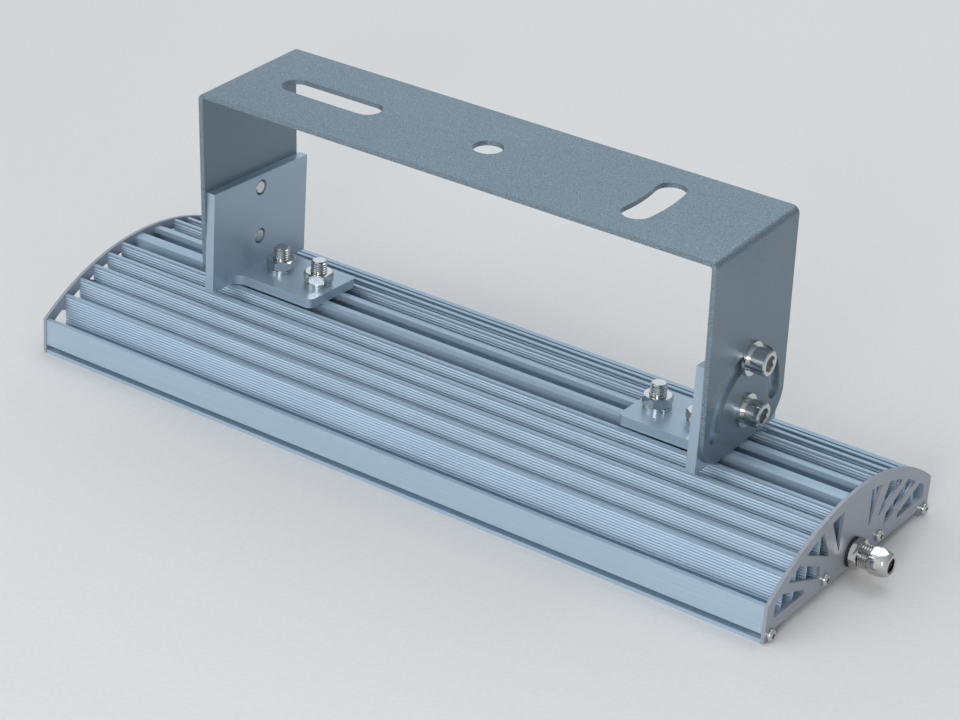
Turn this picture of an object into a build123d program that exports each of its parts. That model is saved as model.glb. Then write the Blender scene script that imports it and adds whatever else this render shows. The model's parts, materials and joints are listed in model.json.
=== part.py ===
import os
from math import cos, radians, sin, sqrt

from build123d import *

os.makedirs("parts", exist_ok=True)

# Everything is in millimetres. X runs along the lamp towards the cable gland, Y towards the rear,
# Z up. The origin is the middle of the lamp's footprint, on the plane that it stands on.

# Lamp body
body_length = 506.0
body_width = 187.0
wall_height = 22.6
wall_thickness = 3.2
base_underside = 6.4
base_thickness = 3.5
arch_height = 54.7

# End plates
plate_thickness = 2.0
plate_overhang = 0.5
plate_shoulder = 23.0
plate_underside = 5.4
ear_width = 10.0
ear_radius = 2.0
plate_rim = 7.0
side_rim = 8.0
opening_floor = 12.6
opening_corner = 0.6
opening_reach = 120.0

# Inner corners of the four fan openings and the directions of their two long edges, in degrees
first_tip = (17.0, 21.8)
first_edges = (93.0, 63.0)
second_tip = (27.2, 24.0)
second_edges = (59.5, 24.5)
third_upper = (38.2, 22.8)
third_lower = (36.6, 14.6)
third_edges = (24.5, 20.3)
fourth_upper = (54.0, 15.6)
fourth_lower = (53.5, 10.0)
fourth_edges = (19.0, 0.0)

# Serrated fins, counted from the middle of the body outwards
fin_count = 5
first_fin = 24.8
fin_pitch = 12.7
fin_thickness = 2.4
fin_drop = 0.6
serration_pitch = 1.75
serration_depth = 0.5
serration_start = 3.0

# Rails along the two bottom edges, with an open screw port in the outer face
rail_width = 10.0
rail_height = 8.0
port_inset = 4.9
port_height = 4.2
port_bore = 3.9
port_mouth = 3.3
rebate_width = 2.0
rebate_height = 3.6

# Spine: a slot for bolt heads above, a wiring chamber below
spine_width = 25.0
spine_wall = 3.25
spine_top = 52.5
slot_width = 11.0
lip_thickness = 3.5
lip_bevel_width = 3.0
lip_bevel_drop = 1.1
head_clearance = 0.8
slot_floor = 3.0
chamber_floor = 1.5

# Inner screw ports on the base
inner_port_spacing = 62.0
inner_port_height = 11.6
inner_port_wall = 1.8
inner_port_gap = 1.6

# Pan head screws that hold the end plates
plate_screw_diameter = 3.8
plate_screw_length = 9.5
plate_screw_head = 7.0
plate_screw_head_height = 2.6
plate_screw_dome = 1.4
plate_screw_clearance = 0.2
recess_length = 3.8
recess_width = 0.9
recess_depth = 1.4

# Bracket, folded from sheet, and its lean in the photograph
bracket_length = 352.0
bracket_width = 87.0
sheet_thickness = 3.0
bracket_top = 183.5
bracket_bottom = 55.0
bracket_offset = 4.0
bend_radius = 4.5
leg_corner_radius = 18.0
bracket_lean = 3.5
mounting_hole = 18.0
top_slot_radius = 111.5
straight_slot_length = 70.0
arc_slot_sweep = 18.0
leg_slot_width = 11.0
leg_slot_sweep = 186.0

# Angle plates between the bracket and the spine
angle_leg = 64.0
angle_thickness = 6.0
angle_width = 88.0
foot_width = 45.0
foot_corner_radius = 4.0
foot_root_radius = 8.0
first_bolt = 23.0
bolt_spacing = 29.0

# M10 fasteners
m10 = 10.0
m10_hole = 11.0
m10_tapped = 10.1
pivot_hole = 10.1
pivot_height = 76.0
lock_spacing = 32.0
socket_head = 15.0
socket_head_height = 8.6
socket_key = 8.0
socket_depth = 5.0
socket_screw_length = 12.0
thread_chamfer = 0.8
head_chamfer = 0.6
washer_diameter = 20.0
washer_bore = 10.5
washer_thickness = 2.0
spring_washer_diameter = 17.0
spring_washer_bore = 10.2
spring_washer_thickness = 2.2
spring_washer_gap = 1.0
narrow_washer_diameter = 14.4
narrow_washer_thickness = 1.6
hex_across_flats = 16.0
bolt_head_height = 6.4
bolt_length = 25.0
nut_height = 6.0
nut_chamfer = 0.9
nut_turns_left = (43.0, 29.0)
nut_turns_right = (20.0, 46.0)

# Cable gland
gland_height = 15.1
gland_thread = 12.0
gland_thread_length = 9.0
gland_hole_clearance = 0.2
gland_flats = 16.0
gasket_diameter = 17.6
gasket_thickness = 1.5
gland_hex_length = 5.0
gland_neck = 14.2
gland_neck_length = 3.5
dome_hex_length = 6.0
dome_length = 8.5
dome_tip = 11.6
dome_wall = 2.4
gland_bore = 8.6
cable_bore = 6.0
neck_clearance = 0.05
neck_engagement = 5.0
dome_slope = 0.35
dome_turn = 15.0
corner_break = 0.8
locknut_flats = 14.0
locknut_thickness = 3.0

# Light source under the base
board_thickness = 1.6
board_gap = 4.0
board_clearance = 2.3
led_size = 5.0
led_height = 1.0
led_columns = 9
led_rows = 4
board_screw_diameter = 2.8
board_screw_clearance = 0.2
board_screw_head = 5.5
board_screw_head_height = 1.2
board_screw_length = 4.0
board_screw_inset = 5.0
glass_thickness = 3.0
glass_clearance = 0.2
gasket_width = 6.0
gasket_overlap = 2.0
glass_recess = 0.4
glass_setback = 8.0
wire_hole = 6.0
wire_hole_gap = 1.0

# Places worked out from the sizes above
base_top = base_underside + base_thickness
half_body = body_width / 2
plate_width = body_width + 2 * plate_overhang
half_plate = plate_width / 2
arch_rise = arch_height - plate_shoulder
arch_radius = (half_plate**2 + arch_rise**2) / (2 * arch_rise)
arch_centre = arch_height - arch_radius
half_length = body_length / 2
overall_half = half_length + plate_thickness
slot_ceiling = spine_top - lip_thickness
slot_bottom = slot_ceiling - bolt_head_height - head_clearance
chamber_top = slot_bottom - slot_floor
chamber_bottom = base_underside + chamber_floor
chamber_width = spine_width - 2 * spine_wall
leg_outer = bracket_length / 2
leg_inner = leg_outer - sheet_thickness
foot_top = spine_top + angle_thickness
lock_height = pivot_height + lock_spacing
sides = (-1, 1)
port_places = [(side * (half_body - port_inset), port_height) for side in sides]
inner_port_places = [(side * inner_port_spacing / 2, inner_port_height) for side in sides]
screw_places = port_places + inner_port_places
glass_length = body_length - 2 * glass_setback
glass_width = body_width - 2 * (rail_width - rebate_width) - 2 * glass_clearance
gasket_length = glass_length - 2 * gasket_overlap
seal_width = body_width - 2 * rail_width - 2 * glass_clearance
inner_length = gasket_length - 2 * gasket_width
inner_width = seal_width - 2 * gasket_width
wire_hole_place = inner_length / 2 - wire_hole_gap - wire_hole / 2
board_end = wire_hole_place - wire_hole / 2 - wire_hole_gap
board_length = board_end - board_gap / 2
board_width = inner_width - 2 * board_clearance
led_column_pitch = board_length / led_columns
led_row_pitch = board_width / led_rows
board_middle = (board_gap + board_length) / 2
board_screw_span = board_length / 2 - board_screw_inset
board_screw_row = board_width / 2 - board_screw_inset
board_screw_places = [
    (board * board_middle + end * board_screw_span, side * board_screw_row)
    for board in sides
    for end in sides
    for side in sides
]
from_below = (Align.CENTER, Align.MIN)
upwards = (Align.CENTER, Align.CENTER, Align.MIN)
downwards = (Align.CENTER, Align.CENTER, Align.MAX)


# Height of a circle about the arch's centre, at a distance from the middle
def arch_at(y, radius=arch_radius):
    return arch_centre + sqrt(radius**2 - y**2)


# Corners of a fin that stands on zero: serrated flanks and a flat tip
def fin_outline(height):
    crest = fin_thickness / 2
    valley = crest - serration_depth
    ridges = int((height - serration_start) / serration_pitch)
    first = height - ridges * serration_pitch
    flank = [(valley, -base_thickness / 2), (valley, first)]
    for ridge in range(ridges):
        foot = first + ridge * serration_pitch
        flank.append((crest, foot + serration_pitch / 2))
        flank.append((valley, foot + serration_pitch))
    flank[-1] = (crest, height)
    return flank + [(-y, z) for y, z in reversed(flank)]


# Corners of a fan opening that widens from its inner end to beyond the rim
def wedge(upper, lower, directions):
    far = [
        (start[0] + opening_reach * cos(radians(angle)), start[1] + opening_reach * sin(radians(angle)))
        for start, angle in zip((upper, lower), directions)
    ]
    corners = [upper, far[0], far[1]]
    if lower != upper:
        corners.append(lower)
    return corners


# Finned extrusion
with BuildPart() as heat_sink:
    with BuildSketch(Plane.YZ.offset(-half_length)):
        with Locations((0, base_underside)):
            Rectangle(body_width, base_thickness, align=from_below)
        for side in sides:
            with Locations((side * (half_body - wall_thickness / 2), 0)):
                Rectangle(wall_thickness, wall_height, align=from_below)
            with Locations((side * (half_body - rail_width / 2), 0)):
                Rectangle(rail_width, rail_height, align=from_below)
            for number in range(fin_count):
                place = first_fin + number * fin_pitch
                tip = arch_at(place + fin_thickness / 2) - fin_drop
                with BuildLine(Location((side * place, base_top))):
                    Polyline(*fin_outline(tip - base_top), close=True)
                make_face()
        with BuildLine():
            lip_edge = spine_top - lip_bevel_drop
            lip_flat = spine_width / 2 - lip_bevel_width
            Polyline(
                (-spine_width / 2, base_underside),
                (-spine_width / 2, lip_edge),
                (-lip_flat, spine_top),
                (lip_flat, spine_top),
                (spine_width / 2, lip_edge),
                (spine_width / 2, base_underside),
                close=True,
            )
        make_face()
        with Locations(*inner_port_places):
            Circle(port_bore / 2 + inner_port_wall)
        with Locations((0, slot_bottom)):
            Rectangle(chamber_width, slot_ceiling - slot_bottom, align=from_below, mode=Mode.SUBTRACT)
            Rectangle(slot_width, spine_top - slot_bottom, align=from_below, mode=Mode.SUBTRACT)
        with Locations((0, chamber_bottom)):
            Rectangle(chamber_width, chamber_top - chamber_bottom, align=from_below, mode=Mode.SUBTRACT)
        with Locations(*screw_places):
            Circle(port_bore / 2, mode=Mode.SUBTRACT)
        with Locations(*inner_port_places):
            Rectangle(inner_port_gap, port_bore, align=from_below, mode=Mode.SUBTRACT)
        for side in sides:
            with Locations((side * (half_body - port_inset / 2), port_height)):
                Rectangle(port_inset, port_mouth, mode=Mode.SUBTRACT)
            with Locations((side * (half_body - rail_width + rebate_width / 2), 0)):
                Rectangle(rebate_width, rebate_height, align=from_below, mode=Mode.SUBTRACT)
    extrude(amount=body_length)
    with Locations(*[(x, y, base_underside) for x, y in board_screw_places]):
        tapped_radius = (board_screw_diameter + board_screw_clearance) / 2
        tapped_depth = board_screw_length - board_thickness
        Cylinder(tapped_radius, tapped_depth, align=upwards, mode=Mode.SUBTRACT)
    with Locations((wire_hole_place, 0, base_underside)):
        Cylinder(wire_hole / 2, chamber_floor, align=upwards, mode=Mode.SUBTRACT)
heat_sink.part.label = "heat_sink"
export_step(heat_sink.part, "parts/heat_sink.step")

# End plates, with four fanned openings on each side
with BuildSketch(Plane.YZ.offset(half_length)) as fan_openings:
    for corners in (
        wedge(first_tip, first_tip, first_edges),
        wedge(second_tip, second_tip, second_edges),
        wedge(third_upper, third_lower, third_edges),
        wedge(fourth_upper, fourth_lower, fourth_edges),
    ):
        with BuildLine():
            Polyline(*corners, close=True)
        make_face()
    field_radius = arch_radius - plate_rim
    field_side = half_plate - side_rim
    field_shoulder = arch_at(field_side, field_radius)
    with BuildLine():
        ThreePointArc(
            (-field_side, field_shoulder), (0, arch_centre + field_radius), (field_side, field_shoulder)
        )
        Polyline(
            (field_side, field_shoulder),
            (field_side, opening_floor),
            (-field_side, opening_floor),
            (-field_side, field_shoulder),
        )
    make_face(mode=Mode.INTERSECT)
    fillet(fan_openings.vertices(), opening_corner)
    mirror(about=Plane.YZ)

with BuildPart() as plain_plate:
    with BuildSketch(Plane.YZ.offset(half_length)):
        ear_inner = half_plate - ear_width
        with BuildLine() as plate_outline:
            ThreePointArc(
                (-half_plate, plate_shoulder), (0, arch_height), (half_plate, plate_shoulder)
            )
            FilletPolyline(
                (half_plate, plate_shoulder),
                (half_plate, 0),
                (ear_inner, 0),
                (ear_inner, plate_underside),
                (-ear_inner, plate_underside),
                (-ear_inner, 0),
                (-half_plate, 0),
                (-half_plate, plate_shoulder),
                radius=ear_radius,
            )
        make_face()
        with Locations(*screw_places):
            Circle((plate_screw_diameter + plate_screw_clearance) / 2, mode=Mode.SUBTRACT)
    extrude(amount=plate_thickness)
    extrude(fan_openings.sketch, amount=plate_thickness, mode=Mode.SUBTRACT)

with BuildPart() as end_plate_right:
    add(plain_plate.part)
    with BuildSketch(Plane.YZ.offset(half_length)):
        with Locations((0, gland_height)):
            Circle((gland_thread + gland_hole_clearance) / 2)
    extrude(amount=plate_thickness, mode=Mode.SUBTRACT)
end_plate_right.part.label = "end_plate_right"
export_step(end_plate_right.part, "parts/end_plate_right.step")

with BuildPart() as end_plate_left:
    add(plain_plate.part)
    mirror(about=Plane.YZ, mode=Mode.REPLACE)
end_plate_left.part.label = "end_plate_left"
export_step(end_plate_left.part, "parts/end_plate_left.step")

# Pan head screws of the end plates, with a cross recess
with BuildPart() as plate_screw:
    with BuildSketch(Plane.YZ.offset(overall_half)):
        Circle(plate_screw_head / 2)
    extrude(amount=plate_screw_head_height)
    fillet(plate_screw.edges().group_by(Axis.X)[-1], plate_screw_dome)
    with BuildSketch(Plane.YZ.offset(overall_half + plate_screw_head_height)):
        Rectangle(recess_length, recess_width)
        Rectangle(recess_width, recess_length)
    extrude(amount=-recess_depth, mode=Mode.SUBTRACT)
    with BuildSketch(Plane.YZ.offset(overall_half)):
        Circle(plate_screw_diameter / 2)
    extrude(amount=-plate_screw_length)

with BuildPart() as end_plate_screws_right:
    with Locations(*[(0, y, z) for y, z in screw_places]):
        add(plate_screw.part)
end_plate_screws_right.part.label = "end_plate_screws_right"
export_step(end_plate_screws_right.part, "parts/end_plate_screws_right.step")

with BuildPart() as end_plate_screws_left:
    add(end_plate_screws_right.part)
    mirror(about=Plane.YZ, mode=Mode.REPLACE)
end_plate_screws_left.part.label = "end_plate_screws_left"
export_step(end_plate_screws_left.part, "parts/end_plate_screws_left.step")

# Cable gland, from the end plate outwards
gland_seat = overall_half + gasket_thickness
neck_start = gland_seat + gland_hex_length
dome_start = neck_start + gland_neck_length
dome_end = dome_start + dome_hex_length
tip = dome_end + dome_length
neck_end = dome_start + neck_engagement
gland_axis = Axis((0, 0, gland_height), (1, 0, 0))
thread_clear_radius = (gland_thread + gland_hole_clearance) / 2
cavity_radius = gland_neck / 2 + neck_clearance

with BuildPart() as gland_gasket:
    with BuildSketch(Plane.YZ.offset(overall_half)):
        with Locations((0, gland_height)):
            Circle(gasket_diameter / 2)
            Circle(thread_clear_radius, mode=Mode.SUBTRACT)
    extrude(amount=gasket_thickness)
gland_gasket.part.label = "gland_gasket"
export_step(gland_gasket.part, "parts/gland_gasket.step")

with BuildPart() as gland_body:
    with BuildSketch(Plane.YZ.offset(gland_seat)):
        with Locations((0, gland_height)):
            RegularPolygon(gland_flats / 2, 6, major_radius=False)
    extrude(amount=gland_hex_length)
    chamfer(gland_body.edges().filter_by(Axis.X), corner_break)
    with BuildSketch(Plane.YZ.offset(gland_seat)):
        with Locations((0, gland_height)):
            Circle(gland_thread / 2)
    extrude(amount=-gland_thread_length)
    with BuildSketch(Plane.YZ.offset(neck_start)):
        with Locations((0, gland_height)):
            Circle(gland_neck / 2)
    extrude(amount=neck_end - neck_start)
    with BuildSketch(Plane.YZ.offset(gland_seat - gland_thread_length)):
        with Locations((0, gland_height)):
            Circle(gland_bore / 2)
    extrude(amount=neck_end - gland_seat + gland_thread_length, mode=Mode.SUBTRACT)
gland_body.part.label = "gland_body"
export_step(gland_body.part, "parts/gland_body.step")

with BuildPart() as gland_dome_nut:
    with BuildSketch(Plane.YZ.offset(dome_start)):
        with Locations((0, gland_height)):
            RegularPolygon(gland_flats / 2, 6, rotation=dome_turn, major_radius=False)
    extrude(amount=dome_hex_length)
    with BuildSketch(Plane.XZ):
        with BuildLine():
            Polyline(
                (tip, gland_height + dome_tip / 2),
                (tip, gland_height),
                (dome_end, gland_height),
                (dome_end, gland_height + gland_flats / 2),
            )
            Spline(
                (dome_end, gland_height + gland_flats / 2),
                (tip, gland_height + dome_tip / 2),
                tangents=((1, 0), (dome_slope, -1)),
            )
        make_face()
    revolve(axis=gland_axis)
    with BuildSketch(Plane.YZ.offset(dome_start)):
        with Locations((0, gland_height)):
            Circle(gland_bore / 2)
    extrude(amount=tip - dome_start, mode=Mode.SUBTRACT)
    with BuildSketch(Plane.YZ.offset(dome_start)):
        with Locations((0, gland_height)):
            Circle(cavity_radius)
    extrude(amount=tip - dome_wall - dome_start, mode=Mode.SUBTRACT)
gland_dome_nut.part.label = "gland_dome_nut"
export_step(gland_dome_nut.part, "parts/gland_dome_nut.step")

with BuildPart() as gland_seal:
    with BuildSketch(Plane.YZ.offset(neck_end)):
        with Locations((0, gland_height)):
            Circle(cavity_radius)
            Circle(cable_bore / 2, mode=Mode.SUBTRACT)
    extrude(amount=tip - dome_wall - neck_end)
gland_seal.part.label = "gland_seal"
export_step(gland_seal.part, "parts/gland_seal.step")

with BuildPart() as gland_locknut:
    with BuildSketch(Plane.YZ.offset(half_length)):
        with Locations((0, gland_height)):
            RegularPolygon(locknut_flats / 2, 6, major_radius=False)
            Circle(gland_thread / 2 + neck_clearance, mode=Mode.SUBTRACT)
    extrude(amount=-locknut_thickness)
gland_locknut.part.label = "gland_locknut"
export_step(gland_locknut.part, "parts/gland_locknut.step")

# Bracket, folded to a U, with its mounting hole, two top slots and an arc slot in each leg
top_arc = CenterArc((0, 0), top_slot_radius, -arc_slot_sweep / 2, arc_slot_sweep)
leg_arc = CenterArc((0, 0), lock_spacing, 90 - leg_slot_sweep / 2, leg_slot_sweep)

with BuildPart() as upright_bracket:
    with BuildSketch(Plane.XZ.offset(-bracket_width / 2)) as fold:
        with Locations((bracket_offset, bracket_bottom)):
            Rectangle(bracket_length, bracket_top - bracket_bottom, align=from_below)
            inner_height = bracket_top - sheet_thickness - bracket_bottom
            Rectangle(2 * leg_inner, inner_height, align=from_below, mode=Mode.SUBTRACT)
        fillet(fold.vertices().group_by(Axis.Y)[-2], bend_radius - sheet_thickness)
        fillet(fold.vertices().group_by(Axis.Y)[-1], bend_radius)
    extrude(amount=bracket_width)
    bottom_corners = upright_bracket.edges().filter_by(Axis.X).group_by(Axis.Z)[0]
    fillet(bottom_corners, leg_corner_radius)
    with BuildSketch(Plane.XY.offset(bracket_top)):
        with Locations((bracket_offset, 0)):
            Circle(mounting_hole / 2)
            SlotArc(top_arc, mounting_hole)
        with Locations((bracket_offset - top_slot_radius, 0)):
            SlotOverall(straight_slot_length, mounting_hole)
    extrude(amount=-sheet_thickness, mode=Mode.SUBTRACT)
    with BuildSketch(Plane.YZ.offset(bracket_offset - leg_outer)):
        with Locations((0, pivot_height)):
            Circle(pivot_hole / 2)
            SlotArc(leg_arc, leg_slot_width)
    extrude(amount=bracket_length, mode=Mode.SUBTRACT)

with BuildPart() as bracket:
    add(upright_bracket.part.rotate(Axis((0, 0, pivot_height), (1, 0, 0)), bracket_lean))
bracket.part.label = "bracket"
export_step(bracket.part, "parts/bracket.step")

# Angle plates: an upright against each leg and a foot along the spine
angle_outer = bracket_offset - leg_inner
bolt_places = [(angle_outer + first_bolt + step * bolt_spacing, 0) for step in (0, 1)]

with BuildPart() as angle_plate_left:
    with BuildSketch(Plane.XY.offset(spine_top)) as foot:
        with Locations((angle_outer, 0)):
            Rectangle(angle_thickness, angle_width, align=(Align.MIN, Align.CENTER))
            Rectangle(angle_leg, foot_width, align=(Align.MIN, Align.CENTER))
        foot_corners = foot.vertices().group_by(Axis.X)
        fillet(foot_corners[-1], foot_corner_radius)
        roots = foot.vertices().group_by(Axis.X)[1].sort_by(Axis.Y)[1:3]
        fillet(roots, foot_root_radius)
        with Locations(*bolt_places):
            Circle(m10_hole / 2, mode=Mode.SUBTRACT)
    extrude(amount=angle_thickness)
    with Locations((angle_outer, 0, spine_top)):
        upright_align = (Align.MIN, Align.CENTER, Align.MIN)
        Box(angle_thickness, angle_width, angle_leg, align=upright_align)
    with BuildSketch(Plane.YZ.offset(angle_outer)):
        with Locations((0, pivot_height), (0, lock_height)):
            Circle(m10_tapped / 2)
    extrude(amount=angle_thickness, mode=Mode.SUBTRACT)
angle_plate_left.part.label = "angle_plate_left"
export_step(angle_plate_left.part, "parts/angle_plate_left.step")

mirror_plane = Plane.YZ.offset(bracket_offset)

with BuildPart() as angle_plate_right:
    add(angle_plate_left.part)
    mirror(about=mirror_plane, mode=Mode.REPLACE)
angle_plate_right.part.label = "angle_plate_right"
export_step(angle_plate_right.part, "parts/angle_plate_right.step")

# Bolts with their heads in the spine's slot, and their washers and nuts
with BuildPart() as channel_bolt:
    with BuildSketch(Plane.XY.offset(slot_ceiling)):
        RegularPolygon(hex_across_flats / 2, 6, major_radius=False)
    extrude(amount=-bolt_head_height)
    with BuildSketch(Plane.XY.offset(slot_ceiling)):
        Circle(m10 / 2)
    extrude(amount=bolt_length)
    chamfer(channel_bolt.edges().group_by(Axis.Z)[-1], thread_chamfer)

with BuildPart() as bolt_washer:
    with BuildSketch(Plane.XY.offset(foot_top)):
        Circle(spring_washer_diameter / 2)
        Circle(spring_washer_bore / 2, mode=Mode.SUBTRACT)
        with Locations((0, spring_washer_diameter / 2)):
            Rectangle(spring_washer_gap, spring_washer_diameter, mode=Mode.SUBTRACT)
    extrude(amount=spring_washer_thickness)

with BuildPart() as bolt_nut:
    with BuildSketch(Plane.XY.offset(foot_top + spring_washer_thickness)):
        RegularPolygon(hex_across_flats / 2, 6, major_radius=False)
    extrude(amount=nut_height)
    with BuildSketch(Plane.XZ):
        corner_radius = hex_across_flats / 2 / cos(radians(30))
        nut_bottom = foot_top + spring_washer_thickness
        nut_top = nut_bottom + nut_height
        edge_radius = hex_across_flats / 2
        with BuildLine():
            Polyline(
                (0, nut_bottom),
                (edge_radius, nut_bottom),
                (corner_radius, nut_bottom + nut_chamfer),
                (corner_radius, nut_top - nut_chamfer),
                (edge_radius, nut_top),
                (0, nut_top),
                close=True,
            )
        make_face()
    revolve(axis=Axis.Z, mode=Mode.INTERSECT)
    with BuildSketch(Plane.XY.offset(nut_bottom)):
        Circle(m10_tapped / 2)
    extrude(amount=nut_height, mode=Mode.SUBTRACT)

with BuildPart() as channel_bolts_left:
    with Locations(*bolt_places):
        add(channel_bolt.part)
channel_bolts_left.part.label = "channel_bolts_left"
export_step(channel_bolts_left.part, "parts/channel_bolts_left.step")

with BuildPart() as channel_bolts_right:
    add(channel_bolts_left.part)
    mirror(about=mirror_plane, mode=Mode.REPLACE)
channel_bolts_right.part.label = "channel_bolts_right"
export_step(channel_bolts_right.part, "parts/channel_bolts_right.step")

with BuildPart() as bolt_spring_washers_left:
    with Locations(*bolt_places):
        add(bolt_washer.part)
bolt_spring_washers_left.part.label = "bolt_spring_washers_left"
export_step(bolt_spring_washers_left.part, "parts/bolt_spring_washers_left.step")

with BuildPart() as bolt_spring_washers_right:
    add(bolt_spring_washers_left.part)
    mirror(about=mirror_plane, mode=Mode.REPLACE)
bolt_spring_washers_right.part.label = "bolt_spring_washers_right"
export_step(bolt_spring_washers_right.part, "parts/bolt_spring_washers_right.step")

with BuildPart() as channel_nuts_left:
    for (x, y), turn in zip(bolt_places, nut_turns_left):
        with Locations(Location((x, y, 0), (0, 0, turn))):
            add(bolt_nut.part)
channel_nuts_left.part.label = "channel_nuts_left"
export_step(channel_nuts_left.part, "parts/channel_nuts_left.step")

with BuildPart() as channel_nuts_right:
    for (x, y), turn in zip(bolt_places, nut_turns_right):
        with Locations(Location((2 * bracket_offset - x, y, 0), (0, 0, turn))):
            add(bolt_nut.part)
channel_nuts_right.part.label = "channel_nuts_right"
export_step(channel_nuts_right.part, "parts/channel_nuts_right.step")

# Socket head screws through the legs, with a spring washer and a flat washer each
leg_face = bracket_offset - leg_outer
spring_face = leg_face - washer_thickness
head_face = spring_face - narrow_washer_thickness
head_end = head_face - socket_head_height

with BuildPart() as socket_screw:
    with BuildSketch(Plane.YZ.offset(head_face)):
        Circle(socket_head / 2)
    extrude(amount=-socket_head_height)
    chamfer(socket_screw.edges().group_by(Axis.X)[0], head_chamfer)
    with BuildSketch(Plane.YZ.offset(head_end)):
        RegularPolygon(socket_key / 2, 6, major_radius=False)
    extrude(amount=socket_depth, mode=Mode.SUBTRACT)
    with BuildSketch(Plane.YZ.offset(head_face)):
        Circle(m10 / 2)
    extrude(amount=socket_screw_length)
    chamfer(socket_screw.edges().group_by(Axis.X)[-1], thread_chamfer)

with BuildPart() as flat_washer:
    with BuildSketch(Plane.YZ.offset(leg_face)):
        Circle(washer_diameter / 2)
        Circle(washer_bore / 2, mode=Mode.SUBTRACT)
    extrude(amount=-washer_thickness)

with BuildPart() as spring_washer:
    with BuildSketch(Plane.YZ.offset(spring_face)):
        Circle(narrow_washer_diameter / 2)
        Circle(spring_washer_bore / 2, mode=Mode.SUBTRACT)
        with Locations((narrow_washer_diameter / 2, 0)):
            Rectangle(narrow_washer_diameter, spring_washer_gap, mode=Mode.SUBTRACT)
    extrude(amount=-narrow_washer_thickness)

with BuildPart() as pivot_screw_left:
    with Locations((0, 0, pivot_height)):
        add(socket_screw.part)
pivot_screw_left.part.label = "pivot_screw_left"
export_step(pivot_screw_left.part, "parts/pivot_screw_left.step")

with BuildPart() as pivot_screw_right:
    add(pivot_screw_left.part)
    mirror(about=mirror_plane, mode=Mode.REPLACE)
pivot_screw_right.part.label = "pivot_screw_right"
export_step(pivot_screw_right.part, "parts/pivot_screw_right.step")

with BuildPart() as lock_screw_left:
    with Locations((0, 0, lock_height)):
        add(socket_screw.part)
lock_screw_left.part.label = "lock_screw_left"
export_step(lock_screw_left.part, "parts/lock_screw_left.step")

with BuildPart() as lock_screw_right:
    add(lock_screw_left.part)
    mirror(about=mirror_plane, mode=Mode.REPLACE)
lock_screw_right.part.label = "lock_screw_right"
export_step(lock_screw_right.part, "parts/lock_screw_right.step")

with BuildPart() as flat_washers_left:
    with Locations((0, 0, pivot_height), (0, 0, lock_height)):
        add(flat_washer.part)
flat_washers_left.part.label = "flat_washers_left"
export_step(flat_washers_left.part, "parts/flat_washers_left.step")

with BuildPart() as flat_washers_right:
    add(flat_washers_left.part)
    mirror(about=mirror_plane, mode=Mode.REPLACE)
flat_washers_right.part.label = "flat_washers_right"
export_step(flat_washers_right.part, "parts/flat_washers_right.step")

with BuildPart() as spring_washers_left:
    with Locations((0, 0, pivot_height), (0, 0, lock_height)):
        add(spring_washer.part)
spring_washers_left.part.label = "spring_washers_left"
export_step(spring_washers_left.part, "parts/spring_washers_left.step")

with BuildPart() as spring_washers_right:
    add(spring_washers_left.part)
    mirror(about=mirror_plane, mode=Mode.REPLACE)
spring_washers_right.part.label = "spring_washers_right"
export_step(spring_washers_right.part, "parts/spring_washers_right.step")

# Light source: two boards of light emitters behind a bonded cover glass
board_face = base_underside - board_thickness
glass_top = glass_recess + glass_thickness

with BuildPart() as led_board_left:
    with BuildSketch(Plane.XY.offset(board_face)):
        with Locations((-board_middle, 0)):
            Rectangle(board_length, board_width)
        with Locations(*board_screw_places):
            Circle((board_screw_diameter + board_screw_clearance) / 2, mode=Mode.SUBTRACT)
    extrude(amount=board_thickness)
led_board_left.part.label = "led_board_left"
export_step(led_board_left.part, "parts/led_board_left.step")

with BuildPart() as led_board_right:
    add(led_board_left.part)
    mirror(about=Plane.YZ, mode=Mode.REPLACE)
led_board_right.part.label = "led_board_right"
export_step(led_board_right.part, "parts/led_board_right.step")

with BuildPart() as led_packages:
    with Locations((-board_middle, 0, board_face), (board_middle, 0, board_face)):
        with GridLocations(led_column_pitch, led_row_pitch, led_columns, led_rows):
            Box(led_size, led_size, led_height, align=downwards)
led_packages.part.label = "led_packages"
export_step(led_packages.part, "parts/led_packages.step")

with BuildPart() as board_screw:
    Cylinder(board_screw_head / 2, board_screw_head_height, align=downwards)
    Cylinder(board_screw_diameter / 2, board_screw_length, align=upwards)

with BuildPart() as board_screws:
    with Locations(*[(x, y, board_face) for x, y in board_screw_places]):
        add(board_screw.part)
board_screws.part.label = "board_screws"
export_step(board_screws.part, "parts/board_screws.step")

with BuildPart() as frame_gasket:
    with BuildSketch(Plane.XY.offset(glass_top)):
        Rectangle(gasket_length, seal_width)
        Rectangle(inner_length, inner_width, mode=Mode.SUBTRACT)
    extrude(amount=base_underside - glass_top)
frame_gasket.part.label = "frame_gasket"
export_step(frame_gasket.part, "parts/frame_gasket.step")

with BuildPart() as cover_glass:
    with BuildSketch(Plane.XY.offset(glass_recess)):
        Rectangle(glass_length, glass_width)
    extrude(amount=glass_thickness)
cover_glass.part.label = "cover_glass"
export_step(cover_glass.part, "parts/cover_glass.step")
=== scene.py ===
import json
import math

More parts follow.
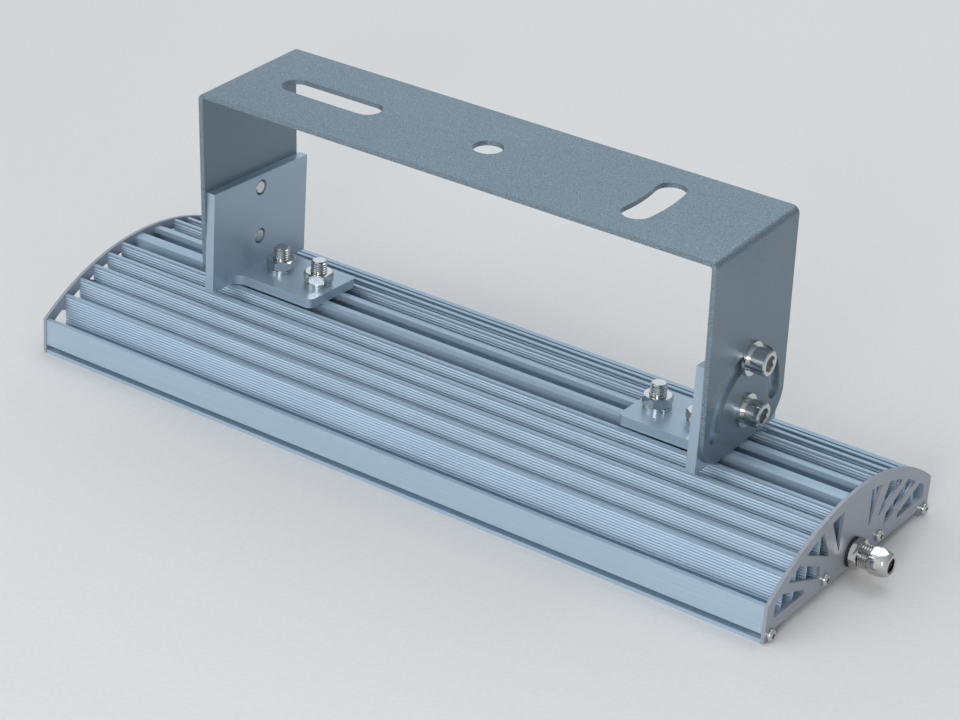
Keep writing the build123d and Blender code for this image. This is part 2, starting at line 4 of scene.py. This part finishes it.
import bpy
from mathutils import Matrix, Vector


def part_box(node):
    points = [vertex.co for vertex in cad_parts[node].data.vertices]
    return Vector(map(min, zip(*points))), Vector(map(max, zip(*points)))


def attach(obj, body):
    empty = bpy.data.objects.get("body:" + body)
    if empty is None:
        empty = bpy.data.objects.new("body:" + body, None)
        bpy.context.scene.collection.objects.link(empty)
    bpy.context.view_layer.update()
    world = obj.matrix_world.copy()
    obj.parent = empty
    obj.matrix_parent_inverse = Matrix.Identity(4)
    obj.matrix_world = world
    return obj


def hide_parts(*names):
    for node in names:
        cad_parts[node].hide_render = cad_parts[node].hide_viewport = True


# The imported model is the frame. Lengths are metres, X runs towards the cable gland, Z is up.
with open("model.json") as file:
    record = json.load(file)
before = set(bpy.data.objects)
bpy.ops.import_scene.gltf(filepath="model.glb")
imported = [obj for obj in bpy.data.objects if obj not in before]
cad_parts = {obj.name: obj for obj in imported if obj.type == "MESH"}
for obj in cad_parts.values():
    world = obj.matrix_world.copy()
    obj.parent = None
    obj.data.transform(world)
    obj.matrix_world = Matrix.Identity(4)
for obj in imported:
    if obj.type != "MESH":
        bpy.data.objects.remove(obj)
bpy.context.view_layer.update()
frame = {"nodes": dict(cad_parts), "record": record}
nodes = frame["nodes"]
print("frame loaded:", len(nodes), "nodes")

mm = 0.001
cornerRatio = math.cos(math.pi / 6)  # half width of a hexagon over its corner radius


# An sRGB colour such as "7a8b99", as the linear colour that a shader takes
def toLinear(hexColour):
    values = []
    for start in (0, 2, 4):
        part = int(hexColour[start : start + 2], 16) / 255
        values.append(part / 12.92 if part <= 0.04045 else ((part + 0.055) / 1.055) ** 2.4)
    return (*values, 1.0)


# Adds a node. An input is a plain value or an output to link, and stops are the colours of a ramp.
def addNode(tree, kind, settings=None, stops=(), **inputs):
    node = tree.nodes.new("ShaderNode" + kind)
    for name, value in (settings or {}).items():
        setattr(node, name, value)
    for name, value in inputs.items():
        socket = node.inputs[name.replace("_", " ")]
        if isinstance(value, bpy.types.NodeSocket):
            tree.links.new(value, socket)
        else:
            socket.default_value = value
    for number, (position, colour) in enumerate(stops):
        if number > 1:
            node.color_ramp.elements.new(position)
        node.color_ramp.elements[number].position = position
        node.color_ramp.elements[number].color = toLinear(colour)
    return node


# Camera, solved from the lamp's corners in the photograph
view = {
    "place": (0.78352, -1.1817, 0.74853),
    "turn": (63.5895, -3.5419, 35.1682),
    "lens": 101.074,
    "sensor": 36.0,
    "nearest": 10 * mm,
}
camera = bpy.data.objects.new("camera", bpy.data.cameras.new("camera"))
bpy.context.scene.collection.objects.link(camera)
camera.location = view["place"]
camera.rotation_euler = [math.radians(angle) for angle in view["turn"]]
camera.data.lens = view["lens"]
camera.data.sensor_width = view["sensor"]
camera.data.clip_start = view["nearest"]
bpy.context.scene.camera = camera
print("camera set")


noiseLow, noiseHigh = 0.3, 0.7  # nearly all of a noise lies between these
usualDetail = 2.0


# One finish: grain tints the colour and gives the relief, and wider patches vary the gloss
def makeFinish(facts):
    material = bpy.data.materials.new(facts["name"])
    material.use_nodes = True
    tree = material.node_tree
    shader = tree.nodes["Principled BSDF"]
    place = addNode(tree, "TexCoord").outputs["Object"]
    run = addNode(tree, "Mapping", Vector=place, Scale=facts.get("stretch", (1.0, 1.0, 1.0)))
    grain = addNode(
        tree, "TexNoise", Vector=run.outputs[0], Scale=1 / facts["grain"],
        Detail=facts.get("detail", usualDetail),
    ).outputs["Fac"]
    patches = addNode(
        tree, "TexNoise", Vector=place, Scale=1 / facts["patches"], Detail=usualDetail,
    ).outputs["Fac"]
    colour = addNode(tree, "ValToRGB", stops=facts["colours"], Fac=grain)
    low, high = facts["roughness"]
    gloss = addNode(
        tree, "MapRange", Value=patches, From_Min=noiseLow, From_Max=noiseHigh,
        To_Min=low, To_Max=high,
    )
    relief = addNode(
        tree, "Bump", Height=grain, Distance=facts["relief"], Strength=facts["strength"],
    )
    tree.links.new(colour.outputs[0], shader.inputs["Base Color"])
    tree.links.new(gloss.outputs[0], shader.inputs["Roughness"])
    tree.links.new(relief.outputs[0], shader.inputs["Normal"])
    shader.inputs["Metallic"].default_value = facts.get("metallic", 0.0)
    shader.inputs["Transmission Weight"].default_value = facts.get("transmission", 0.0)
    return material


# Anodised aluminium, extruded: silvery blue and satin. The die leaves fine lines along the length,
# about 0.2 mm apart on a real one, drawn 0.6 mm apart so that they show.
extrusion = {
    "name": "satin_anodised_extrusion",
    "grain": 0.6 * mm,
    "stretch": (0.01, 1.0, 1.0),
    "patches": 40 * mm,
    "colours": ((0.30, "a9bdcd"), (0.70, "b3c7d6")),
    "roughness": (0.46, 0.52),
    "relief": 0.005 * mm,
    "strength": 0.2,
    "metallic": 0.5,
}

# Anodised aluminium sheet, cut through: flat satin grey, barely violet, with a fine rolled grain
cutSheet = {
    "name": "satin_anodised_sheet",
    "grain": 0.5 * mm,
    "stretch": (1.0, 0.2, 1.0),
    "patches": 30 * mm,
    "colours": ((0.30, "9fa4ad"), (0.70, "a9aeb7")),
    "roughness": (0.40, 0.48),
    "relief": 0.01 * mm,
    "strength": 0.3,
    "metallic": 0.5,
}

# Anodised aluminium angle, blasted first: an even blue-grey with a soft sheen
blastedAngle = {
    "name": "blasted_anodised_angle",
    "grain": 0.5 * mm,
    "patches": 25 * mm,
    "colours": ((0.30, "a3b6c5"), (0.70, "b0c2d0")),
    "roughness": (0.34, 0.42),
    "relief": 0.01 * mm,
    "strength": 0.3,
    "metallic": 0.6,
}

# Metallic powder coat on steel: blue-grey with bright and dark flecks. The flakes are under 0.1 mm
# on a real one, and are drawn 0.5 mm wide so that they show.
powderCoat = {
    "name": "metallic_powder_coat",
    "grain": 0.5 * mm,
    "detail": 3.0,
    "patches": 70 * mm,
    "colours": ((0.30, "62717c"), (0.50, "7b8c96"), (0.70, "aab8c1")),
    "roughness": (0.44, 0.52),
    "relief": 0.03 * mm,
    "strength": 0.4,
    "metallic": 0.7,
}

# Stainless steel, cold headed and rolled: bright, with slightly duller patches
stainless = {
    "name": "bright_stainless_steel",
    "grain": 1.2 * mm,
    "patches": 5 * mm,
    "colours": ((0.30, "c6c8c7"), (0.70, "d8dad9")),
    "roughness": (0.12, 0.22),
    "relief": 0.02 * mm,
    "strength": 0.15,
    "metallic": 1.0,
}

# Nickel plate on turned brass: a clear mirror, a trace warmer than the steel
nickel = {
    "name": "bright_nickel_plate",
    "grain": 0.8 * mm,
    "patches": 6 * mm,
    "colours": ((0.30, "c3c2bd"), (0.70, "d3d2cd")),
    "roughness": (0.05, 0.11),
    "relief": 0.01 * mm,
    "strength": 0.15,
    "metallic": 1.0,
}

# Moulded rubber: soft black with a dusty bloom
rubber = {
    "name": "moulded_black_rubber",
    "grain": 2.5 * mm,
    "detail": 4.0,
    "patches": 8 * mm,
    "colours": ((0.30, "141516"), (0.80, "2a2c2e")),
    "roughness": (0.50, 0.68),
    "relief": 0.04 * mm,
    "strength": 0.3,
}

# White solder mask over aluminium boards: smooth and semi-matt, with a faint mottle
solderMask = {
    "name": "white_solder_mask",
    "grain": 3 * mm,
    "patches": 12 * mm,
    "colours": ((0.30, "e4e6e4"), (0.70, "eff0ee")),
    "roughness": (0.30, 0.40),
    "relief": 0.02 * mm,
    "strength": 0.2,
}

# Phosphor in clear resin over the emitters: yellow and slightly glossy
phosphor = {
    "name": "yellow_phosphor_resin",
    "grain": 0.4 * mm,
    "patches": 3 * mm,
    "colours": ((0.30, "dcb431"), (0.70, "eccb58")),
    "roughness": (0.18, 0.30),
    "relief": 0.02 * mm,
    "strength": 0.2,
}

# Silicone sealant: pale grey, with a soft wavy skin
silicone = {
    "name": "pale_silicone_sealant",
    "grain": 6 * mm,
    "detail": 3.0,
    "patches": 10 * mm,
    "colours": ((0.30, "c9cac8"), (0.70, "dcdddb")),
    "roughness": (0.38, 0.50),
    "relief": 0.2 * mm,
    "strength": 0.4,
}

# Tempered glass: clear, barely green, with a trace of dust that dulls it in places
glass = {
    "name": "clear_tempered_glass",
    "grain": 20 * mm,
    "patches": 15 * mm,
    "colours": ((0.30, "ecf5f0"), (0.70, "f2f8f5")),
    "roughness": (0.0, 0.06),
    "relief": 0.002 * mm,
    "strength": 0.1,
    "transmission": 1.0,
}

finishes = {
    "extruded_aluminium": makeFinish(extrusion),
    "plate_aluminium": makeFinish(cutSheet),
    "anodised_aluminium": makeFinish(blastedAngle),
    "bracket_paint": makeFinish(powderCoat),
    "stainless_steel": makeFinish(stainless),
    "nickel_brass": makeFinish(nickel),
    "black_rubber": makeFinish(rubber),
    "circuit_board": makeFinish(solderMask),
    "led_phosphor": makeFinish(phosphor),
    "silicone_seal": makeFinish(silicone),
    "clear_glass": makeFinish(glass),
}

for subpart in frame["record"]["subparts"]:
    piece = nodes[subpart["node"]]
    piece.data.materials.clear()
    piece.data.materials.append(finishes[subpart["material_slot"]])
print("finishes set:", len(finishes))


# Leaves one piece selected and active, so that an operator acts on nothing else
def pick(piece):
    bpy.ops.object.select_all(action="DESELECT")
    piece.select_set(True)
    bpy.context.view_layer.objects.active = piece


# Adds a modifier with its settings and applies it
def applyModifier(piece, kind, **settings):
    modifier = piece.modifiers.new(kind.lower(), kind)
    for name, value in settings.items():
        setattr(modifier, name, value)
    pick(piece)
    bpy.ops.object.modifier_apply(modifier=modifier.name)


# Trims a piece to another, or cuts the other out of it. The other is used up.
def combine(piece, other, operation):
    applyModifier(piece, "BOOLEAN", object=other, operation=operation, solver="EXACT")
    bpy.data.objects.remove(other, do_unlink=True)
    return piece


# Joins pieces into the first one
def joinPieces(pieces, name):
    pick(pieces[0])
    for piece in pieces:
        piece.select_set(True)
    bpy.ops.object.join()
    pieces[0].name = name
    return pieces[0]


# Small turned pieces are shaped in millimetres. This brings one to metres, with its turn and place
# in its mesh.
def settle(piece, place, turn=(0, 0, 0)):
    pick(piece)
    piece.scale = (mm, mm, mm)
    piece.rotation_euler = turn
    piece.location = place
    bpy.ops.object.transform_apply(location=True, rotation=True, scale=True)


turning = {"steps": 48, "merge": 0.001, "weld": 0.002}  # steps of a full turn, and distances in mm
past = 1  # how far a cutter or a blank reaches past the end that it cuts, in mm


# Turns a line of (radius, height) points about Z. With a rise for each turn it winds a thread.
def turnShape(points, steps=turning["steps"], rise=0.0):
    bpy.ops.object.select_all(action="DESELECT")
    bpy.ops.mesh.primitive_plane_add(size=1.0, location=(0, 0, 0))
    piece = bpy.context.object
    bpy.ops.object.mode_set(mode="EDIT")
    bpy.ops.mesh.select_mode(type="VERT")
    bpy.ops.mesh.select_all(action="SELECT")
    bpy.ops.mesh.merge(type="CENTER")
    bpy.ops.transform.translate(value=(points[0][0], 0, points[0][1]))
    for here, there in zip(points, points[1:]):
        step = (there[0] - here[0], 0, there[1] - here[1])
        bpy.ops.mesh.extrude_vertices_move(TRANSFORM_OT_translate={"value": step})
    bpy.ops.object.mode_set(mode="OBJECT")
    applyModifier(
        piece, "SCREW", axis="Z", steps=steps, render_steps=steps, screw_offset=rise,
        use_merge_vertices=True, merge_threshold=turning["merge"], use_smooth_shade=False,
    )
    bpy.ops.object.mode_set(mode="EDIT")
    bpy.ops.mesh.select_all(action="SELECT")
    bpy.ops.mesh.remove_doubles(threshold=turning["weld"])
    bpy.ops.mesh.fill_holes(sides=0)
    bpy.ops.mesh.select_all(action="SELECT")
    bpy.ops.mesh.normals_make_consistent(inside=False)
    bpy.ops.object.mode_set(mode="OBJECT")
    return piece


# One turn of a thread, as steps outwards in thread depths and upwards in pitches. The crests are
# broad, so that the rings show. It starts below the rod, off any round part of the pitch, so that
# none of its points lies in the plane of the lower cut.
thread = {
    "profile": ((1, 0.30), (0, 0.22), (-1, 0.30), (0, 0.18)),
    "steps": 40,
    "below": 1.513,
    "spareTurns": 3,
}


# A threaded rod along Z, flat at its lower end and chamfered at the upper one
def threadRod(radius, pitch, depth, start, end, chamfer):
    points = [(radius - depth, start - thread["below"] * pitch)]
    for turn in range(math.ceil((end - start) / pitch) + thread["spareTurns"]):
        for out, up in thread["profile"]:
            points.append((points[-1][0] + out * depth, points[-1][1] + up * pitch))
    wide = radius + past
    blank = [
        (0, start), (wide, start), (wide, end - chamfer - past), (radius - chamfer, end), (0, end),
    ]
    return combine(turnShape(points, thread["steps"], pitch), turnShape(blank), "INTERSECT")


cornersOnX = 30  # degrees that turn a new hexagon until two of its corners are on X


# A hexagonal bar along Z, trimmed to a turned outline of (radius, height) points
def hexBar(flats, outline, turn=0.0):
    low, high = outline[0][1], outline[-1][1]
    bpy.ops.object.select_all(action="DESELECT")
    bpy.ops.mesh.primitive_cylinder_add(
        vertices=6, radius=flats / 2 / cornerRatio, depth=high - low + 2 * past,
        location=(0, 0, (low + high) / 2), rotation=(0, 0, math.radians(cornersOnX + turn)),
    )
    bar = bpy.context.object
    bpy.ops.object.transform_apply(location=True, rotation=True, scale=True)
    return combine(bar, turnShape([(0, low), *outline, (0, high)]), "INTERSECT")


hexChamfer = {"near": 0.49, "wide": 0.60, "drop": 0.06}  # for each millimetre across the flats


# Outline of a bar whose corners are chamfered at both ends
def chamferedEnds(flats, start, end):
    near, wide, drop = [hexChamfer[fact] * flats for fact in ("near", "wide", "drop")]
    return [(near, start), (wide, start + drop), (wide, end - drop), (near, end)]


smoothAngle = math.radians(28)  # faces that meet at less than this are shaded as one


# Gives a new piece its finish, its smooth shading and its place in the frame
def finishPiece(piece, slot, node=None):
    pick(piece)
    bpy.ops.object.shade_smooth_by_angle(angle=smoothAngle)
    piece.data.materials.clear()
    piece.data.materials.append(finishes[slot])
    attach(piece, "lamp")
    if node:
        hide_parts(node)


alongX = (0, math.pi / 2, 0)
againstX = (0, -math.pi / 2, 0)

# Bolts of the angle plates, in millimetres: rolled M10 threads, with the heads in the spine's slot.
# The shank starts inside the head by the overlap.
channelBolt = {
    "radius": 4.95,
    "pitch": 1.5,
    "threadDepth": 0.65,
    "flats": 16,
    "headHeight": 6.4,
    "chamfer": 1.0,
    "overlap": 0.3,
}
cornerReach = channelBolt["flats"] / 2 / cornerRatio * mm
headHeight = channelBolt["headHeight"]
for side in ("left", "right"):
    node = "channel_bolts_" + side
    low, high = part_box(node)
    bolts = []
    for x in (low[0] + cornerReach, high[0] - cornerReach):
        shank = threadRod(
            channelBolt["radius"], channelBolt["pitch"], channelBolt["threadDepth"],
            headHeight - channelBolt["overlap"], (high[2] - low[2]) / mm, channelBolt["chamfer"],
        )
        head = hexBar(channelBolt["flats"], chamferedEnds(channelBolt["flats"], 0, headHeight))
        bolt = joinPieces([head, shank], "threaded_bolt")
        settle(bolt, (x, (low[1] + high[1]) / 2, low[2]))
        bolts.append(bolt)
    finishPiece(joinPieces(bolts, "threaded_bolts_" + side), "stainless_steel", node)
print("bolts threaded")

# Socket head screws of the legs, in millimetres from the outer face of the head. The lead-in of
# the key's hole is the two points of its cone.
socketScrew = {
    "head": 7.5,
    "headHeight": 8.6,
    "rim": 0.7,
    "key": 8,
    "keyDepth": 5,
    "leadIn": ((6, -past), (4, 0.8)),
    "radius": 4.95,
    "pitch": 1.5,
    "threadDepth": 0.65,
    "chamfer": 1.4,
    "overlap": 0.3,
}
head, headHeight, rim, key = [socketScrew[fact] for fact in ("head", "headHeight", "rim", "key")]
for name in ("pivot_screw", "lock_screw"):
    for side, turn, end in (("left", alongX, 0), ("right", againstX, 1)):
        node = name + "_" + side
        low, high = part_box(node)
        cap = turnShape([(0, 0), (head - rim, 0), (head, rim), (head, headHeight), (0, headHeight)])
        combine(cap, hexBar(key, [(key, -past), (key, socketScrew["keyDepth"])]), "DIFFERENCE")
        wide, narrow = socketScrew["leadIn"]
        combine(cap, turnShape([(0, wide[1]), wide, narrow, (0, narrow[1])]), "DIFFERENCE")
        shank = threadRod(
            socketScrew["radius"], socketScrew["pitch"], socketScrew["threadDepth"],
            headHeight - socketScrew["overlap"], (high[0] - low[0]) / mm, socketScrew["chamfer"],
        )
        screw = joinPieces([cap, shank], "threaded_" + node)
        settle(screw, ((low, high)[end][0], 0, (low[2] + high[2]) / 2), turn)
        finishPiece(screw, "stainless_steel", node)
print("screws threaded")

# Gland body, in millimetres from its inner end: a thread through the plate, a hexagon and a
# threaded neck that the dome nut runs on. Each thread is its radius, pitch and depth.
glandBody = {
    "flats": 16,
    "turn": 30,
    "seat": 9,
    "hexagon": 5,
    "plateThread": (6, 1.5, 0.7),
    "plateChamfer": 0.3,
    "neckThread": (7.1, 1.5, 0.65),
    "neckChamfer": 0.4,
    "overlap": 0.4,
    "bore": 4.3,
}
low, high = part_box("gland_body")
glandHeight = (low[2] + high[2]) / 2
glandLength = (high[0] - low[0]) / mm
flats, seat, bore, overlap = [glandBody[fact] for fact in ("flats", "seat", "bore", "overlap")]
neckStart = seat + glandBody["hexagon"]
glandParts = [
    hexBar(flats, chamferedEnds(flats, seat, neckStart), glandBody["turn"]),
    threadRod(*glandBody["neckThread"], neckStart - overlap, glandLength, glandBody["neckChamfer"]),
    threadRod(*glandBody["plateThread"], 0, seat + overlap, glandBody["plateChamfer"]),
]
boreEnd = glandLength + past
for part in glandParts:
    drill = turnShape([(0, -past), (bore, -past), (bore, boreEnd), (0, boreEnd)])
    combine(part, drill, "DIFFERENCE")
body = joinPieces(glandParts, "threaded_gland_body")
settle(body, (low[0], 0, glandHeight), alongX)
finishPiece(body, "nickel_brass", "gland_body")

# Dome nut, in millimetres from its inner face: its six flats run out into the dome. It starts
# further out than the plain solid does, so that more of the threaded neck shows.
domeNut = {
    "shift": 3,
    "flats": 15,
    "turn": 45,
    "outline": (
        (7.8, 0), (8.5, 0.5), (8.5, 4.6), (8.2, 5.8), (7.9, 7.4), (7.4, 8.9), (6.8, 10.2),
        (6.2, 11.1), (5.4, 11.5),
    ),
    "cavity": 7.15,
    "wall": 4.5,
    "mouth": 4.3,
    "mouthChamfer": 0.6,
}
low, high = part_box("gland_dome_nut")
domeLength = (high[0] - low[0]) / mm - domeNut["shift"]
dome = hexBar(domeNut["flats"], domeNut["outline"], domeNut["turn"])
cavity, mouth = domeNut["cavity"], domeNut["mouth"]
ledge = domeLength - domeNut["wall"]
flare = domeLength - domeNut["mouthChamfer"]
hollow = [
    (0, -past), (cavity, -past), (cavity, ledge), (mouth, ledge), (mouth, flare),
    (mouth + past, flare + past), (0, flare + past),
]
combine(dome, turnShape(hollow), "DIFFERENCE")
dome.name = "faceted_dome_nut"
settle(dome, (low[0] + domeNut["shift"] * mm, 0, glandHeight), alongX)
finishPiece(dome, "nickel_brass", "gland_dome_nut")
print("gland dressed")

# White packages round the emitters, each with a square window
package = {
    "emitter": 5 * mm,
    "size": 5.8 * mm,
    "rim": 0.8 * mm,
    "height": 1.06 * mm,
    "bevel": 0.15 * mm,
    "bevelFrom": math.radians(40),
    "columns": 9,
    "rows": 4,
    "boards": 2,
}
low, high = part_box("led_packages")
emitter, rimHeight = package["emitter"], package["height"]
boardLow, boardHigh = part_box("led_board_left")
columnPitch = (boardHigh[0] - boardLow[0]) / package["columns"]
rowPitch = (high[1] - low[1] - emitter) / (package["rows"] - 1)
boardShift = high[0] - low[0] - emitter - columnPitch * (package["columns"] - 1)
bpy.ops.object.select_all(action="DESELECT")
bpy.ops.mesh.primitive_plane_add(
    size=package["size"],
    location=(low[0] + emitter / 2, low[1] + emitter / 2, high[2] - rimHeight),
)
rims = bpy.context.object
rims.name = "emitter_packages"
bpy.ops.object.transform_apply(location=True, rotation=True, scale=True)
bpy.ops.object.mode_set(mode="EDIT")
bpy.ops.mesh.select_mode(type="FACE")
bpy.ops.mesh.select_all(action="SELECT")
bpy.ops.mesh.inset(thickness=package["rim"])
bpy.ops.mesh.delete(type="FACE")
bpy.ops.mesh.select_all(action="SELECT")
bpy.ops.mesh.flip_normals()
bpy.ops.object.mode_set(mode="OBJECT")
applyModifier(rims, "SOLIDIFY", thickness=rimHeight, offset=-1.0)
applyModifier(
    rims, "BEVEL", width=package["bevel"], segments=1, limit_method="ANGLE",
    angle_limit=package["bevelFrom"],
)
for count, step in (
    (package["columns"], (columnPitch, 0, 0)),
    (package["rows"], (0, rowPitch, 0)),
    (package["boards"], (boardShift, 0, 0)),
):
    applyModifier(
        rims, "ARRAY", count=count, use_relative_offset=False, use_constant_offset=True,
        constant_offset_displace=step,
    )
finishPiece(rims, "circuit_board")
print("emitter packages made")


# Floor: plain and pale, with a fine paper mottle
floorFacts = {
    "name": "pale_paper_floor",
    "size": 12.0,
    "grain": 3 * mm,
    "patches": 30 * mm,
    "colours": ((0.30, "e8e5e2"), (0.70, "ece9e6")),
    "roughness": (0.85, 0.95),
    "relief": 0.02 * mm,
    "strength": 0.1,
}
bpy.ops.object.select_all(action="DESELECT")
bpy.ops.mesh.primitive_plane_add(size=floorFacts["size"], location=(0, 0, 0))
floor = bpy.context.object
floor.name = "floor"
floor.data.materials.append(makeFinish(floorFacts))

# Surroundings: a pale room, brighter at the front left than at the rear right
room = {"colour": "eaf2fa", "darkSide": (0.6, 0.8, 0.0), "bright": 1.0, "dark": 0.3}
world = bpy.data.worlds.new("studio")
bpy.context.scene.world = world
world.use_nodes = True
sky = world.node_tree.nodes["Background"]
sky.inputs["Color"].default_value = toLinear(room["colour"])
heading = addNode(world.node_tree, "TexCoord").outputs["Generated"]
across = addNode(world.node_tree, "VectorMath", {"operation": "DOT_PRODUCT"})
world.node_tree.links.new(heading, across.inputs[0])
across.inputs[1].default_value = room["darkSide"]
level = addNode(
    world.node_tree, "MapRange", Value=across.outputs["Value"], From_Min=-1.0, From_Max=1.0,
    To_Min=room["bright"], To_Max=room["dark"],
)
world.node_tree.links.new(level.outputs[0], sky.inputs["Strength"])

# Soft square lamps, each turned towards the middle of the object, at the height that it aims at
aim = 60 * mm
lamps = {
    "overhead": {"place": (0.1, 0.9, 1.8), "size": 1.2, "power": 8.0, "colour": "f5faff"},
    "front": {"place": (-0.9, -1.6, 0.85), "size": 0.9, "power": 4.0, "colour": "ffffff"},
    "fill": {"place": (0.7, -1.7, 0.6), "size": 0.45, "power": 10.0, "colour": "fff8f6"},
    "back": {"place": (-1.1, 1.5, 1.0), "size": 1.2, "power": 2.5, "colour": "eef6ff"},
}
for lampName, lampFacts in lamps.items():
    lampData = bpy.data.lights.new(lampName, "AREA")
    lampData.shape = "SQUARE"
    lampData.size = lampFacts["size"]
    lampData.energy = lampFacts["power"]
    lampData.color = toLinear(lampFacts["colour"])[:3]
    lamp = bpy.data.objects.new(lampName, lampData)
    bpy.context.scene.collection.objects.link(lamp)
    lamp.location = lampFacts["place"]
    x, y, z = lampFacts["place"]
    down = math.atan2(math.hypot(x, y), z - aim)
    lamp.rotation_euler = (down, 0, math.atan2(-x, y) + math.pi)
bpy.context.scene.view_settings.view_transform = "Standard"
print("studio set")
